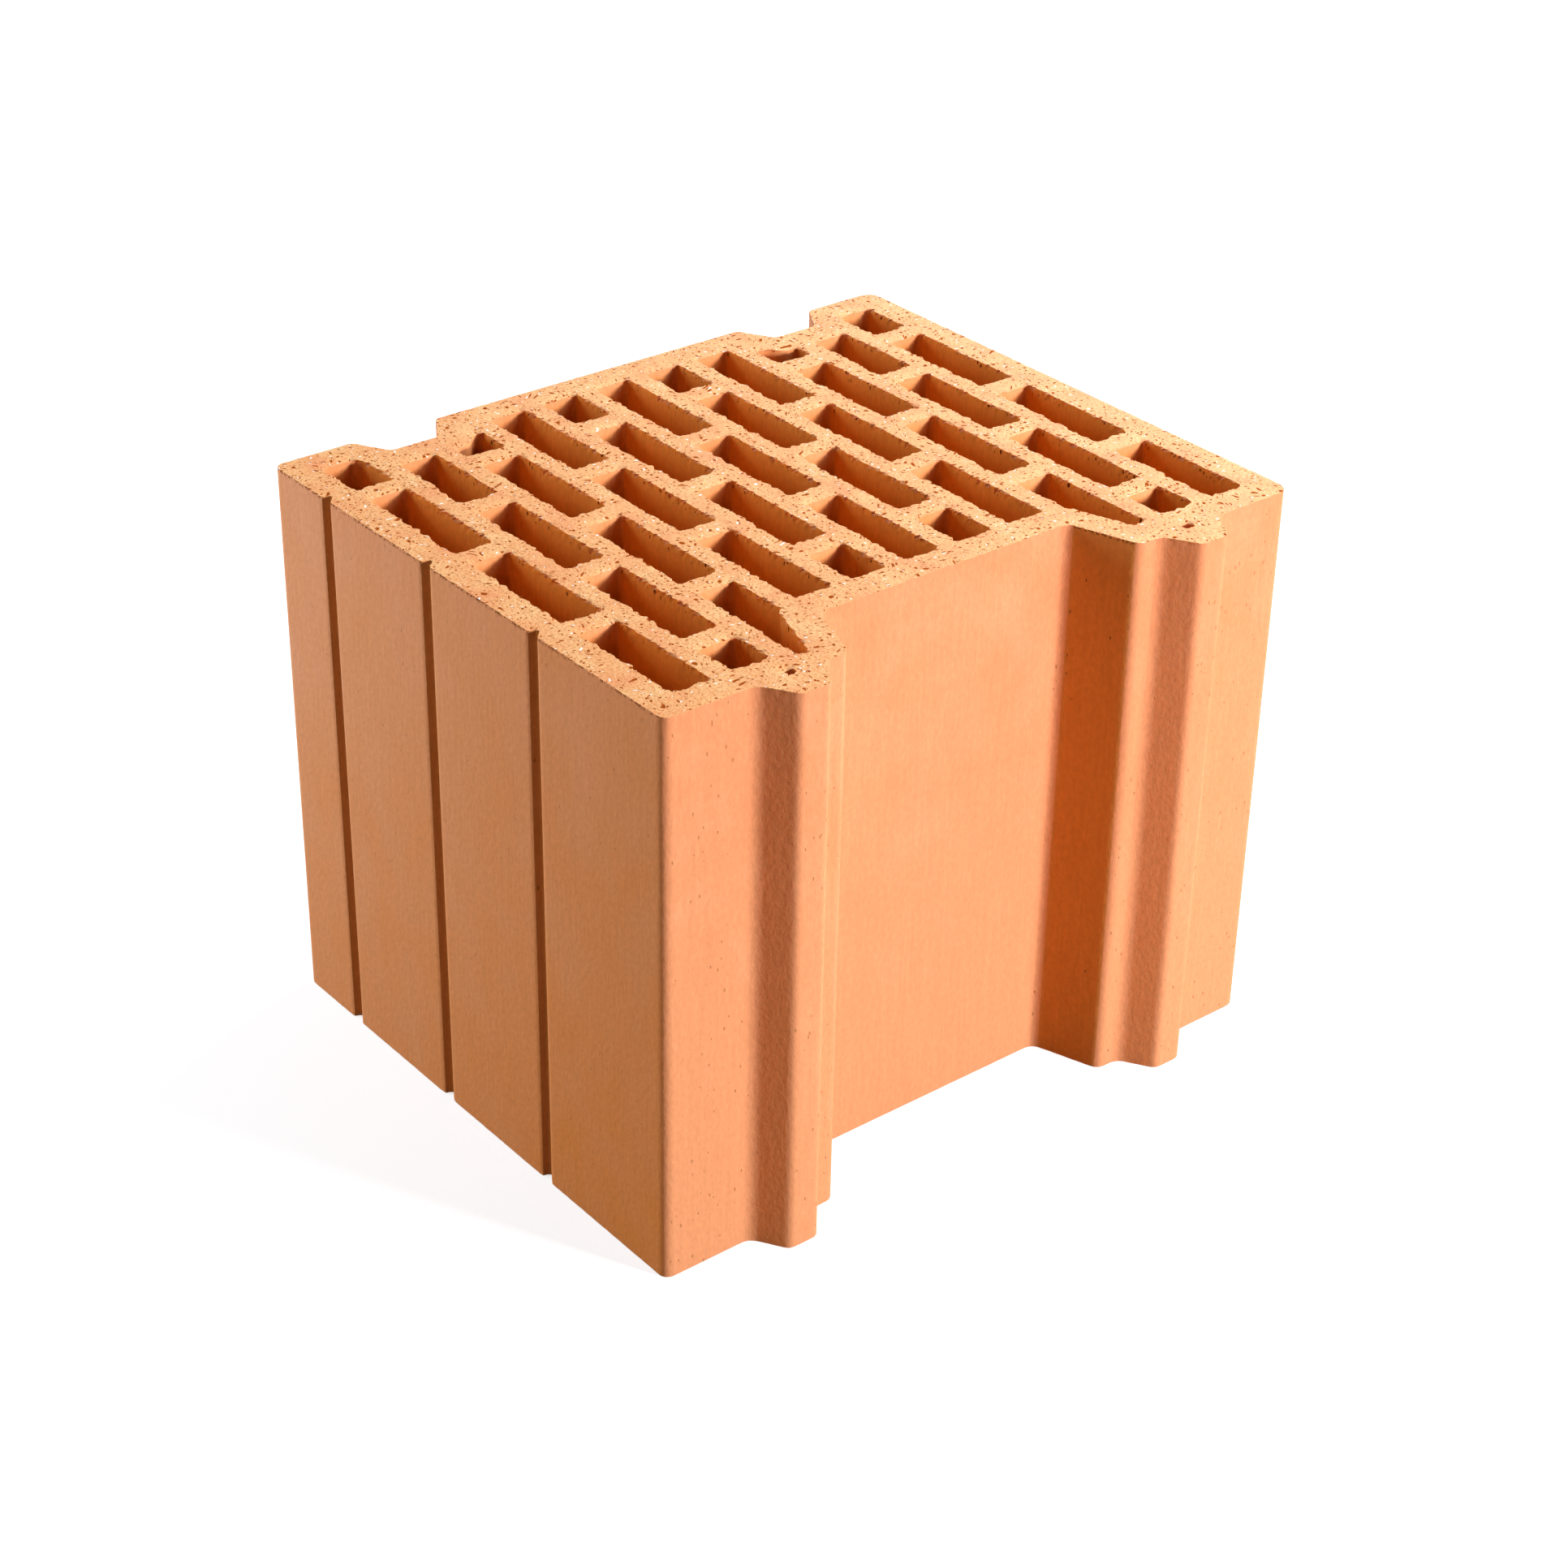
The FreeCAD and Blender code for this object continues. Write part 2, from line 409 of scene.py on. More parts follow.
@dataclass(kw_only=True)
class ExtrudedClay(ClayMaterial):
    """Fired clay that slid along the die: closed and smooth, with upright drag lines and a few pits.

    Below the cut its colour goes over into another one: in the cores a deeper orange that is painted shade,
    on the outside a paler tone towards the foot. Walls that face -Y get painted light and shade, paler at
    the top and towards -X, more golden towards the foot and towards +X. Drag lines and leathery grain are
    drawn coarser than the real ones, which are too fine to show.
    """

    # Painted light and shade: below changes with depth, and the high and low tones lie on walls that face
    # -Y.
    below: str
    painted_light_shade_high: str
    painted_light_shade_low: str
    pit: str
    below_from_mm: float = 0.0
    below_full_mm: float = BLOCK_HEIGHT_MM
    painted_low_along: float = 0.5
    tone_wander: float = 0.4
    tone_patch_mm: float = 30.0
    front_range: tuple[float, float] = (0.78, 0.95)
    drawn_out: float = 1.5
    noise_range: tuple[float, float] = (0.3, 0.7)
    line_mm: float = 1.5
    line_length_mm: float = 30.0
    line_contrast: float = 0.04
    leather_mm: float = 1.9
    leather_contrast: float = 0.06
    leather_relief_mm: float = 0.22
    pits: Spots = Spots(0.9, 2.8, 0.17, (1.0, 1.0, 2.0))
    pit_depth_mm: float = 0.2
    # Dark tears under the cut: partly real tears, partly the painted shade of the torn lip.
    shaded_tears: Spots = Spots(1.9, 1.3, 1.0)
    torn_shade_depth_mm: float = 1.8
    torn_shade_full_share: float = 0.4
    ragged_length_mm: float = 1.0
    ragged_reach_mm: float = 0.8

    def lowered(self, start_mm: float, end_mm: float) -> Socket:
        """Make a mask that rises from 0 to 1 between two depths below the cut.

        Args:
            start_mm: Depth where it is 0.
            end_mm: Depth where it is 1.

        Returns:
            The mask.
        """
        top = CAD_BOX[1].z
        height = add_node(self.tree, "ShaderNodeSeparateXYZ", None, {"Vector": self.place})
        return add_node(self.tree, "ShaderNodeMapRange", None,
                        {"Value": height.outputs["Z"], "From Min": top - start_mm * MM,
                         "From Max": top - end_mm * MM}).outputs["Result"]

    def fronting(self) -> Socket:
        """Make a mask that is 1 on walls that face -Y, and less on slanted ones, where painted light and
        shade go.

        Returns:
            The mask.
        """
        normal = add_node(self.tree, "ShaderNodeNewGeometry").outputs["Normal"]
        facing = add_node(self.tree, "ShaderNodeVectorMath", {"operation": "DOT_PRODUCT"},
                          {0: normal, 1: (0.0, -1.0, 0.0)})
        start, full = self.front_range
        return add_node(self.tree, "ShaderNodeMapRange", None,
                        {"Value": facing.outputs["Value"], "From Min": start,
                         "From Max": full}).outputs["Result"]

    def drawn(self, width_mm: float, length_mm: float) -> Socket:
        """Make a noise that the die drew out along Z.

        Args:
            width_mm: Its width across.
            length_mm: Its length along Z.

        Returns:
            The noise.
        """
        scale = [1 / (size * MM) for size in (width_mm, width_mm, length_mm)]
        squeezed = add_node(self.tree, "ShaderNodeMapping", None, {"Vector": self.place, "Scale": scale})
        return add_node(self.tree, "ShaderNodeTexNoise", None,
                        {"Vector": squeezed.outputs["Vector"], "Scale": 1.0, "Detail": 3.0,
                         "Roughness": 0.6}).outputs["Fac"]

    def painted_light_and_shade(self) -> Socket:
        """Blend the painted light and shade of walls that face -Y: more of the low tone towards the foot
        and towards +X.

        Returns:
            The colour.
        """
        low, high = CAD_BOX
        along = add_node(self.tree, "ShaderNodeSeparateXYZ", None, {"Vector": self.place})
        ahead = add_node(self.tree, "ShaderNodeMapRange", None,
                         {"Value": along.outputs["X"], "From Min": low.x, "From Max": high.x})
        share = add_node(self.tree, "ShaderNodeMix", {"data_type": "FLOAT"},
                         {0: self.painted_low_along, 2: self.lowered(0.0, BLOCK_HEIGHT_MM),
                          3: ahead.outputs["Result"]})
        patches = self.drawn(self.tone_patch_mm, self.tone_patch_mm * self.drawn_out)
        wander = add_node(self.tree, "ShaderNodeMapRange", None,
                          {"Value": patches, "To Min": -self.tone_wander, "To Max": self.tone_wander})
        painted_light_shade_low = add_node(self.tree, "ShaderNodeMath", {"operation": "ADD", "use_clamp": True},
                           {0: share.outputs[0], 1: wander.outputs["Result"]})
        return self.layered(linear(self.painted_light_shade_high), [(painted_light_shade_low.outputs["Value"], linear(self.painted_light_shade_low))])

    def torn(self) -> Socket:
        """Make a mask of the dark tears that the wire left under the cut, on walls that face -Y, with the
        shade of the torn lip painted into them.

        Returns:
            The mask.
        """
        below_cut = self.lowered(self.torn_shade_depth_mm, self.torn_shade_full_share * self.torn_shade_depth_mm)
        near_cut = add_node(self.tree, "ShaderNodeMath", {"operation": "MULTIPLY"},
                            {0: self.fronting(), 1: below_cut})
        ragged = self.swayed(self.place, self.ragged_length_mm, self.ragged_reach_mm)
        return add_node(self.tree, "ShaderNodeMath", {"operation": "MULTIPLY"},
                        {0: near_cut.outputs["Value"], 1: self.spots(self.shaded_tears, ragged)}).outputs["Value"]

    def build(self) -> bpy.types.Material:
        """Make the material: soft patches, painted light and shade, leathery grain, drag lines along Z,
        pits and torn lips.

        Returns:
            The new material.
        """
        material = self.start()
        tree = self.tree
        lines = self.drawn(self.line_mm, self.line_length_mm)
        leather = self.drawn(self.leather_mm, self.leather_mm * self.drawn_out)
        dark, light = self.noise_range
        shades = [add_node(tree, "ShaderNodeMapRange", None,
                           {"Value": noise, "From Min": dark, "From Max": light,
                            "To Min": 1 - contrast, "To Max": 1 + contrast}).outputs["Result"]
                  for noise, contrast in ((lines, self.line_contrast), (leather, self.leather_contrast))]
        shade = add_node(tree, "ShaderNodeMath", {"operation": "MULTIPLY"}, dict(enumerate(shades)))
        # Painted light and shade: a colour by depth below the cut, and the high and low tones on walls that
        # face -Y.
        fired = self.layered(self.patches(), [
            (self.lowered(self.below_from_mm, self.below_full_mm), linear(self.below)),
            (self.fronting(), self.painted_light_and_shade()),
        ])
        lined = add_node(tree, "ShaderNodeVectorMath", {"operation": "SCALE"},
                         {0: fired, "Scale": shade.outputs["Value"]})
        pits = self.spots(self.pits, self.place)
        # Pits, and the torn lips with their painted shade.
        colour = self.layered(lined.outputs["Vector"], [
            (pits, linear(self.pit)),
            (self.torn(), linear(self.colours.pore_and_torn_shade)),
        ])
        fine = add_node(tree, "ShaderNodeMath", {"operation": "MULTIPLY"},
                        {0: leather, 1: self.leather_relief_mm})
        relief = add_node(tree, "ShaderNodeMath", {"operation": "MULTIPLY_ADD"},
                          {0: pits, 1: -self.pit_depth_mm, 2: fine.outputs["Value"]})
        self.finish(colour, relief.outputs["Value"])
        return material


@dataclass
class SectionEdge:
    """One closed edge of the block's section, with the clay on its left: the outline or a core's mouth."""

    points: np.ndarray
    is_outline: bool

    def length(self) -> float:
        """Length round the edge, in metres."""
        return float(np.linalg.norm(np.roll(self.points, -1, axis=0) - self.points, axis=1).sum())

    def resampled(self, step: float) -> "SectionEdge":
        """Spread points evenly along the edge.

        Args:
            step: Wanted distance between points, in metres.

        Returns:
            The same edge with an even number of points.
        """
        closed = np.vstack([self.points, self.points[:1]])
        along = np.concatenate([[0.0], np.cumsum(np.linalg.norm(np.diff(closed, axis=0), axis=1))])
        fewest = 8
        count = max(fewest, 2 * round(along[-1] / step / 2))
        wanted = np.arange(count) * along[-1] / count
        columns = [np.interp(wanted, along, closed[:, axis]) for axis in (0, 1)]
        return SectionEdge(np.column_stack(columns), self.is_outline)

    def open_side(self) -> np.ndarray:
        """Work out the direction from the clay into the open.

        Returns:
            A unit vector for each point.
        """
        ahead = np.roll(self.points, -1, axis=0) - np.roll(self.points, 1, axis=0)
        normal = np.column_stack([ahead[:, 1], -ahead[:, 0]])
        return normal / np.linalg.norm(normal, axis=1, keepdims=True)

    def smoothed(self, reach: float) -> "SectionEdge":
        """Soften the edge's corners as a worn die does.

        Args:
            reach: Spread of the smoothing along the edge, in metres.

        Returns:
            The softened edge.
        """
        step = self.length() / len(self.points)
        passes = round(2 * (reach / step) ** 2)
        points = self.points
        for _ in range(passes):
            points = (np.roll(points, 1, axis=0) + 2 * points + np.roll(points, -1, axis=0)) / 4
        return SectionEdge(points, self.is_outline)


@dataclass
class HollowClayBlock:
    """The block: a fine skin over the CAD section, torn at the mouths and rough where the wire cut it."""

    # Fineness of the skin. Depths are below the top face, heights above the bed face.
    rim_step_mm: float = 1.0
    cut_step_mm: float = 1.25
    bed_step_mm: float = 2.3
    jitter: float = 0.28
    clear_of_rim: float = 0.62
    rim_depths_mm: tuple[float, ...] = (0.8, 1.8, 3.2, 5.5)
    wall_depths_mm: tuple[float, ...] = (14.0, 60.0, 120.0, 180.0)
    foot_heights_mm: tuple[float, ...] = (4.0, 1.2)
    merge_mm: float = 0.001
    weld: float = 1e-9
    level_facing: float = 0.9
    smooth_below_degrees: float = 38.0

    # Faults of the worn die: soft corners, and mouths that are a little out of true.
    outline_softness_mm: float = 0.6
    mouth_softness_mm: tuple[float, float] = (0.1, 0.4)
    mouth_to_softness: float = 40.0
    mouth_wave_mm: float = 0.3
    mouth_waves: tuple[int, ...] = (2, 3, 4, 5)
    full_wave_mouth_mm: float = 60.0

    # Tearing by the wire. A range gives the values of a noise, or of a rim's facing, where a tear starts
    # and where it is full, and shares are the parts of its reach at those two values. What sinks goes up
    # below the first of the bed's heights, and down above the second.
    rim_reach_mm: float = 2.2
    outline_torn: float = 0.3
    bed_torn: float = 0.25
    wave_reach_mm: float = 1.25
    wave_length_mm: float = 3.0
    wave_range: tuple[float, float] = (0.32, 0.68)
    wave_shares: tuple[float, float] = (-0.8, 1.0)
    fringe_reach_mm: float = 1.5
    fringe_length_mm: float = 1.6
    fringe_range: tuple[float, float] = (0.47, 0.6)
    bunch_range: tuple[float, float] = (0.36, 0.56)
    bunch_shares: tuple[float, float] = (0.2, 1.0)
    notch_drop: float = 0.15
    rounding_mm: float = 0.7
    rounding_range: tuple[float, float] = (0.6, 0.95)
    relief_mm: float = 0.4
    relief_length_mm: float = 2.6
    bed_heights_mm: tuple[float, float] = (10.0, 20.0)

    # Where the skin gets a browner, duller colour that is painted shade: in the keying grooves of the -Y
    # face, which lie clear of its ends, and on flanks of the +X end that face -Y from beyond the middle.
    key_from_mm: float = 0.55
    key_to_mm: float = 4.0
    key_clear_mm: float = 30.0
    flank_facing: float = 0.9

    # The skin as it is built up, one entry for each ring or face that is added.
    vertices: list[np.ndarray] = field(default_factory=list)
    triangles: list[np.ndarray] = field(default_factory=list)
    finishes: list[np.ndarray] = field(default_factory=list)
    rim_weights: list[np.ndarray] = field(default_factory=list)
    open_sides: list[np.ndarray] = field(default_factory=list)
    cut_weights: list[np.ndarray] = field(default_factory=list)
    count: int = 0

    def section_edges(self) -> list[SectionEdge]:
        """Read the section's closed edges from the top of the CAD node.

        Returns:
            The edges, the outline first.
        """
        mesh = bmesh.new()
        mesh.from_mesh(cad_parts[BLOCK_NODE].data)
        bmesh.ops.remove_doubles(mesh, verts=mesh.verts, dist=self.merge_mm * MM)
        mesh.normal_update()
        following = {}
        for face in mesh.faces:
            if face.normal.z > self.level_facing:
                for corner in face.loops:
                    others = corner.edge.link_faces
                    if any(other.normal.z < self.level_facing for other in others):
                        following[corner.vert] = corner.link_loop_next.vert
        edges = []
        while following:
            vertex, after = following.popitem()
            chain = [vertex.co.xy]
            while after in following:
                chain.append(after.co.xy)
                after = following.pop(after)
            edges.append(SectionEdge(np.array(chain), False))
        mesh.free()
        edges.sort(key=SectionEdge.length, reverse=True)
        edges[0].is_outline = True
        return edges

    def dressed_edges(self, rng: np.random.Generator) -> list[SectionEdge]:
        """Resample the edges and give each core's mouth the small faults of a worn die.

        Args:
            rng: Source of the random draws.

        Returns:
            The edges that the fine skin follows.
        """
        dressed = []
        for edge in self.section_edges():
            fine = edge.resampled(self.rim_step_mm * MM)
            if edge.is_outline:
                dressed.append(fine.smoothed(self.outline_softness_mm * MM))
                continue
            low, high = self.mouth_softness_mm
            softness = min(rng.uniform(low, high) * MM, edge.length() / self.mouth_to_softness)
            fine = fine.smoothed(softness)
            turn = np.arange(len(fine.points)) / len(fine.points) * math.tau
            wave = sum(rng.uniform(-1, 1) * np.sin(waves * turn + rng.uniform(0, math.tau))
                       for waves in self.mouth_waves)
            size = self.mouth_wave_mm * MM * min(1.0, edge.length() / (self.full_wave_mouth_mm * MM))
            fine.points = fine.points + fine.open_side() * (size * wave / 2)[:, None]
            dressed.append(fine)
        return dressed

    def torn_share(self, edge: SectionEdge) -> float:
        """How strongly the wire tore an edge: less on the outline than on a core's mouth."""
        return self.outline_torn if edge.is_outline else 1.0

    def scattered_points(self, edges: list[SectionEdge], step: float,
                         rng: np.random.Generator) -> np.ndarray:
        """Scatter points over the clay of the section, clear of its edges.

        Args:
            edges: The section's edges.
            step: Distance between points, in metres.
            rng: Source of the random draws.

        Returns:
            The points, one row each.
        """
        starts = np.vstack([edge.points for edge in edges])
        ends = np.vstack([np.roll(edge.points, -1, axis=0) for edge in edges])
        tree = point_tree(starts)
        low, high = starts.min(axis=0), starts.max(axis=0)
        kept = []
        for row, y in enumerate(np.arange(low[1], high[1], step * math.sqrt(3) / 2)):
            xs = np.arange(low[0] + step / 2 * (row % 2), high[0], step)
            shift = rng.uniform(-self.jitter, self.jitter, (len(xs), 2)) * step
            crossing = (starts[:, 1] <= y) != (ends[:, 1] <= y)
            a, b = starts[crossing], ends[crossing]
            walls = np.sort(a[:, 0] + (y - a[:, 1]) / (b[:, 1] - a[:, 1]) * (b[:, 0] - a[:, 0]))
            in_clay = np.searchsorted(walls, xs) % 2 == 1
            for x, (dx, dy) in zip(xs[in_clay], shift[in_clay]):
                if tree.find((x + dx, y + dy, 0))[2] > step * self.clear_of_rim:
                    kept.append((x + dx, y + dy))
        return np.array(kept)

    def add_vertices(self, xy: np.ndarray, z: float, open_side: np.ndarray, rim: np.ndarray | float,
                     cut: float) -> np.ndarray:
        """Add vertices at one height.

        Args:
            xy: Their places in plan.
            z: Their height.
            open_side: Unit vectors into the open.
            rim: How near each is to a mouth, from 0 to 1.
            cut: 1 on a cut face, 0 on a wall.

        Returns:
            Their numbers.
        """
        size = len(xy)
        numbers = np.arange(self.count, self.count + size)
        self.vertices.append(np.column_stack([xy, np.full(size, z)]))
        self.open_sides.append(np.column_stack([open_side, np.zeros(size)]))
        self.rim_weights.append(np.broadcast_to(rim, size))
        self.cut_weights.append(np.full(size, cut))
        self.count += size
        return numbers

    def add_triangles(self, corners: np.ndarray, finish: np.ndarray | int) -> None:
        """Add triangles by the numbers of their corners, all of one finish or with a finish for each."""
        self.triangles.append(corners)
        self.finishes.append(np.broadcast_to(finish, len(corners)))

    def add_strip(self, upper: np.ndarray, lower: np.ndarray, finish: np.ndarray) -> None:
        """Join two rings of a wall, where the lower has as many points as the upper or half as many.

        Args:
            upper: Numbers of the upper ring.
            lower: Numbers of the lower ring.
            finish: The wall's finish after each point of the upper ring.
        """
        above, below = np.roll(upper, -1), np.roll(lower, -1)
        if len(lower) == len(upper):
            self.add_triangles(np.column_stack([upper, lower, above]), finish)
            self.add_triangles(np.column_stack([above, lower, below]), finish)
            return
        first, middle, last = upper[0::2], upper[1::2], np.roll(upper[0::2], -1)
        self.add_triangles(np.column_stack([first, lower, middle]), finish[0::2])
        self.add_triangles(np.column_stack([middle, lower, below]), finish[0::2])
        self.add_triangles(np.column_stack([middle, below, last]), finish[1::2])

    def add_cut_face(self, edges: list[SectionEdge], z: float, step: float, faces_up: bool,
                     rng: np.random.Generator) -> list[np.ndarray]:
        """Add one face that the wire cut, with its points fine enough to carry the relief.

        Args:
            edges: The section's edges.
            z: Height of the face.
            step: Distance between its points, in metres.
            faces_up: True for the top.
            rng: Source of the random draws.

        Returns:
            The numbers of the vertices of each edge.
        """
        rim_points = np.vstack([edge.points for edge in edges])
        rim_normals = np.vstack([edge.open_side() for edge in edges])
        inner = self.scattered_points(edges, step, rng)
        tree = point_tree(rim_points)
        nearest = [tree.find((x, y, 0))[1:] for x, y in inner]
        owner = np.array([index for index, _ in nearest])
        distances = np.array([distance for _, distance in nearest])
        near = np.exp(-(distances / (self.rim_reach_mm * MM)) ** 2)
        torn = np.concatenate([np.full(len(edge.points), self.torn_share(edge)) for edge in edges])
        torn = torn if faces_up else torn * self.bed_torn
        rim_numbers = self.add_vertices(rim_points, z, rim_normals, torn, 1.0)
        inner_numbers = self.add_vertices(inner, z, rim_normals[owner], near * torn[owner], 1.0)
        numbers = np.concatenate([rim_numbers, inner_numbers])
        rings, constraints, start = [], [], 0
        for edge in edges:
            own = np.arange(start, start + len(edge.points))
            constraints += list(zip(own.tolist(), np.roll(own, -1).tolist()))
            rings.append(rim_numbers[own])
            start += len(edge.points)
        cloud = np.vstack([rim_points, inner])
        whole_hull = 0
        _, _, faces, sources, _, _ = geometry.delaunay_2d_cdt(
            [Vector(point) for point in cloud.tolist()], constraints, [], whole_hull, self.weld)
        source = np.array([ids[0] for ids in sources])
        corners = source[np.array(faces)]
        corners = numbers[corners[self.in_clay(corners, cloud, edges)]]
        self.add_triangles(corners if faces_up else corners[:, ::-1], int(Finish.WIRE_CUT))
        return rings

    def in_clay(self, corners: np.ndarray, cloud: np.ndarray, edges: list[SectionEdge]) -> np.ndarray:
        """Tell the triangles of the clay from those that span a core or a hollow of the outline.

        Args:
            corners: The triangles' corners, as rows of the cloud.
            cloud: The points, those of the edges first and in order.
            edges: The section's edges, each with the clay on its left.

        Returns:
            True for each triangle to keep.
        """
        counts = [len(edge.points) for edge in edges]
        owner = np.full(len(cloud), -1)
        owner[:sum(counts)] = np.repeat(np.arange(len(edges)), counts)
        owners = owner[corners]
        on_one_edge = (owners[:, 0] >= 0) & (owners == owners[:, :1]).all(axis=1)
        a, b, c = cloud[np.sort(corners, axis=1)].transpose(1, 0, 2)
        turn = (b - a)[:, 0] * (c - a)[:, 1] - (b - a)[:, 1] * (c - a)[:, 0]
        return ~on_one_edge | (turn > 0)

    def wall_finish(self, edge: SectionEdge) -> np.ndarray:
        """Tell what the wall below an edge is: a core's, plain skin, or skin with painted shade in a
        hollow.

        Args:
            edge: The section's edge.

        Returns:
            The number of the finish after each point of the edge.
        """
        if not edge.is_outline:
            return np.full(len(edge.points), int(Finish.CORE))
        low, high = CAD_BOX
        along, across = edge.points.T
        back = across - low.y
        in_key = (back > self.key_from_mm * MM) & (back < self.key_to_mm * MM)
        in_key &= (along > low.x + self.key_clear_mm * MM) & (along < high.x - self.key_clear_mm * MM)
        shaded_flank = (edge.open_side()[:, 1] < -self.flank_facing) & (along > 0) & (across > 0)
        # Grooves and far flank get the finish with painted shade, darker for the shade that falls there.
        hollow = in_key | shaded_flank
        hollow |= np.roll(hollow, -1)
        return np.where(hollow, int(Finish.SHADED_HOLLOW), int(Finish.SKIN))

    def add_walls(self, edge: SectionEdge, top_ring: np.ndarray, foot_ring: np.ndarray, top: float,
                  foot: float) -> None:
        """Add the wall below one edge of the section, fine under the cut and coarser further down.

        Args:
            edge: The section's edge.
            top_ring: Numbers of its vertices on the top face.
            foot_ring: Numbers of the vertices of the same edge, at half the count, on the bed face.
            top: Height of the top face.
            foot: Height of the bed face.
        """
        finish = self.wall_finish(edge)
        sides = edge.open_side()
        ring = top_ring
        for depth in self.rim_depths_mm:
            weight = self.torn_share(edge) * math.exp(-(depth / self.rim_reach_mm) ** 2)
            lower = self.add_vertices(edge.points, top - depth * MM, sides, weight, 0.0)
            self.add_strip(ring, lower, finish)
            ring = lower
        every = 1 if edge.is_outline else 2
        depths = self.wall_depths_mm if edge.is_outline else self.wall_depths_mm[:1]
        levels = [top - depth * MM for depth in depths]
        levels += [foot + height * MM for height in self.foot_heights_mm]
        for z in levels:
            lower = self.add_vertices(edge.points[::every], z, sides[::every], 0.0, 0.0)
            self.add_strip(ring, lower, finish)
            finish = finish[::every] if len(lower) < len(ring) else finish
            ring = lower
        self.add_strip(ring, foot_ring, finish)

    def base_mesh(self) -> bpy.types.Object:
        """Model the fine skin, with the attributes that the tearing reads.

        Returns:
            The new object.
        """
        rng = np.random.default_rng(SEED)
        low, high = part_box(BLOCK_NODE)
        edges = self.dressed_edges(rng)
        halves = [SectionEdge(edge.points[::2], edge.is_outline) for edge in edges]
        top_rings = self.add_cut_face(edges, high.z, self.cut_step_mm * MM, True, rng)
        foot_rings = self.add_cut_face(halves, low.z, self.bed_step_mm * MM, False, rng)
        for edge, top_ring, foot_ring in zip(edges, top_rings, foot_rings):
            self.add_walls(edge, top_ring, foot_ring, high.z, low.z)
        mesh = bpy.data.meshes.new(BLOCK_NODE)
        mesh.from_pydata(np.vstack(self.vertices).tolist(), [], np.vstack(self.triangles).tolist())
        per_point = {"rim": self.rim_weights, "cut": self.cut_weights}
        for name, rows in per_point.items():
            mesh.attributes.new(name, "FLOAT", "POINT").data.foreach_set("value", np.concatenate(rows))
        sides = np.vstack(self.open_sides).astype(np.float32)
        mesh.attributes.new("open_side", "FLOAT_VECTOR", "POINT").data.foreach_set("vector", sides.ravel())
        finish = mesh.attributes.new("finish", "INT", "FACE")
        finish.data.foreach_set("value", np.concatenate(self.finishes).astype(np.int32))
        return put_in_scene(PIECE, mesh)

    def tear_sizes(self) -> dict[str, float]:
        """Name the inputs of the tree that tears the block.

        Returns:
            Each input's value, in metres apart from the seed.
        """
        return {
            "Wave Reach": self.wave_reach_mm * MM,
            "Wave Length": self.wave_length_mm * MM,
            "Fringe Reach": self.fringe_reach_mm * MM,
            "Fringe Length": self.fringe_length_mm * MM,
            "Rounding": self.rounding_mm * MM,
            "Relief": self.relief_mm * MM,
            "Relief Length": self.relief_length_mm * MM,
            "Seed": float(SEED),
        }

    def rim_tears(self, tree: bpy.types.NodeTree, sizes: bpy.types.NodeOutputs, told: dict[str, Socket],
                  noises: dict[str, Socket]) -> tuple[Socket, Socket]:
        """Work out how the wire moved the clay at a rim.

        It smeared waves over rims that open towards +Y and -X, bit teeth out of those that open towards
        -Y, in bunches, and rounded those that open towards +X.

        Args:
            tree: The tree that gets the nodes.
            sizes: The tree's inputs.
            told: The mesh's attributes, by name.
            noises: The noises, by the name of the input that sets their length.

        Returns:
            How far the clay moves into the open, and how far it drops.
        """
        side = add_node(tree, "ShaderNodeSeparateXYZ", None, {"Vector": told["open_side"]})
        left = add_node(tree, "ShaderNodeMath", {"operation": "MULTIPLY"}, {0: side.outputs["X"], 1: -1.0})
        dragged = add_node(tree, "ShaderNodeMath", {"operation": "MAXIMUM", "use_clamp": True},
                           {0: side.outputs["Y"], 1: left.outputs["Value"]})
        bitten = add_node(tree, "ShaderNodeMath", {"operation": "MULTIPLY", "use_clamp": True},
                          {0: side.outputs["Y"], 1: -1.0})
        whole = (0.0, 1.0)
        ranges = {
            "pressed": (side.outputs["X"], self.rounding_range, whole),
            "wave": (noises["Wave Length"], self.wave_range, self.wave_shares),
            "teeth": (noises["Fringe Length"], self.fringe_range, whole),
            "bunches": (noises["Wave Length"], self.bunch_range, self.bunch_shares),
        }
        shares = {}
        for name, (value, (start, full), (least, most)) in ranges.items():
            shares[name] = add_node(tree, "ShaderNodeMapRange", None,
                                    {"Value": value, "From Min": start, "From Max": full,
                                     "To Min": least, "To Max": most}).outputs["Result"]
        products = {
            "smear": (shares["wave"], dragged.outputs["Value"], sizes["Wave Reach"]),
            "notch": (shares["teeth"], shares["bunches"], bitten.outputs["Value"], sizes["Fringe Reach"]),
            "sag": (shares["pressed"], sizes["Rounding"]),
        }
        moves = {}
        for name, (product, *factors) in products.items():
            for factor in factors:
                product = add_node(tree, "ShaderNodeMath", {"operation": "MULTIPLY"},
                                   {0: product, 1: factor}).outputs["Value"]
            moves[name] = product
        outwards = add_node(tree, "ShaderNodeMath", {"operation": "SUBTRACT"},
                            {0: moves["smear"], 1: moves["notch"]})
        drop = add_node(tree, "ShaderNodeMath", {"operation": "MULTIPLY_ADD"},
                        {0: moves["notch"], 1: self.notch_drop, 2: moves["sag"]})
        outwards, drop = [add_node(tree, "ShaderNodeMath", {"operation": "MULTIPLY"},
                                   {0: move.outputs["Value"], 1: told["rim"]}).outputs["Value"]
                          for move in (outwards, drop)]
        return outwards, drop

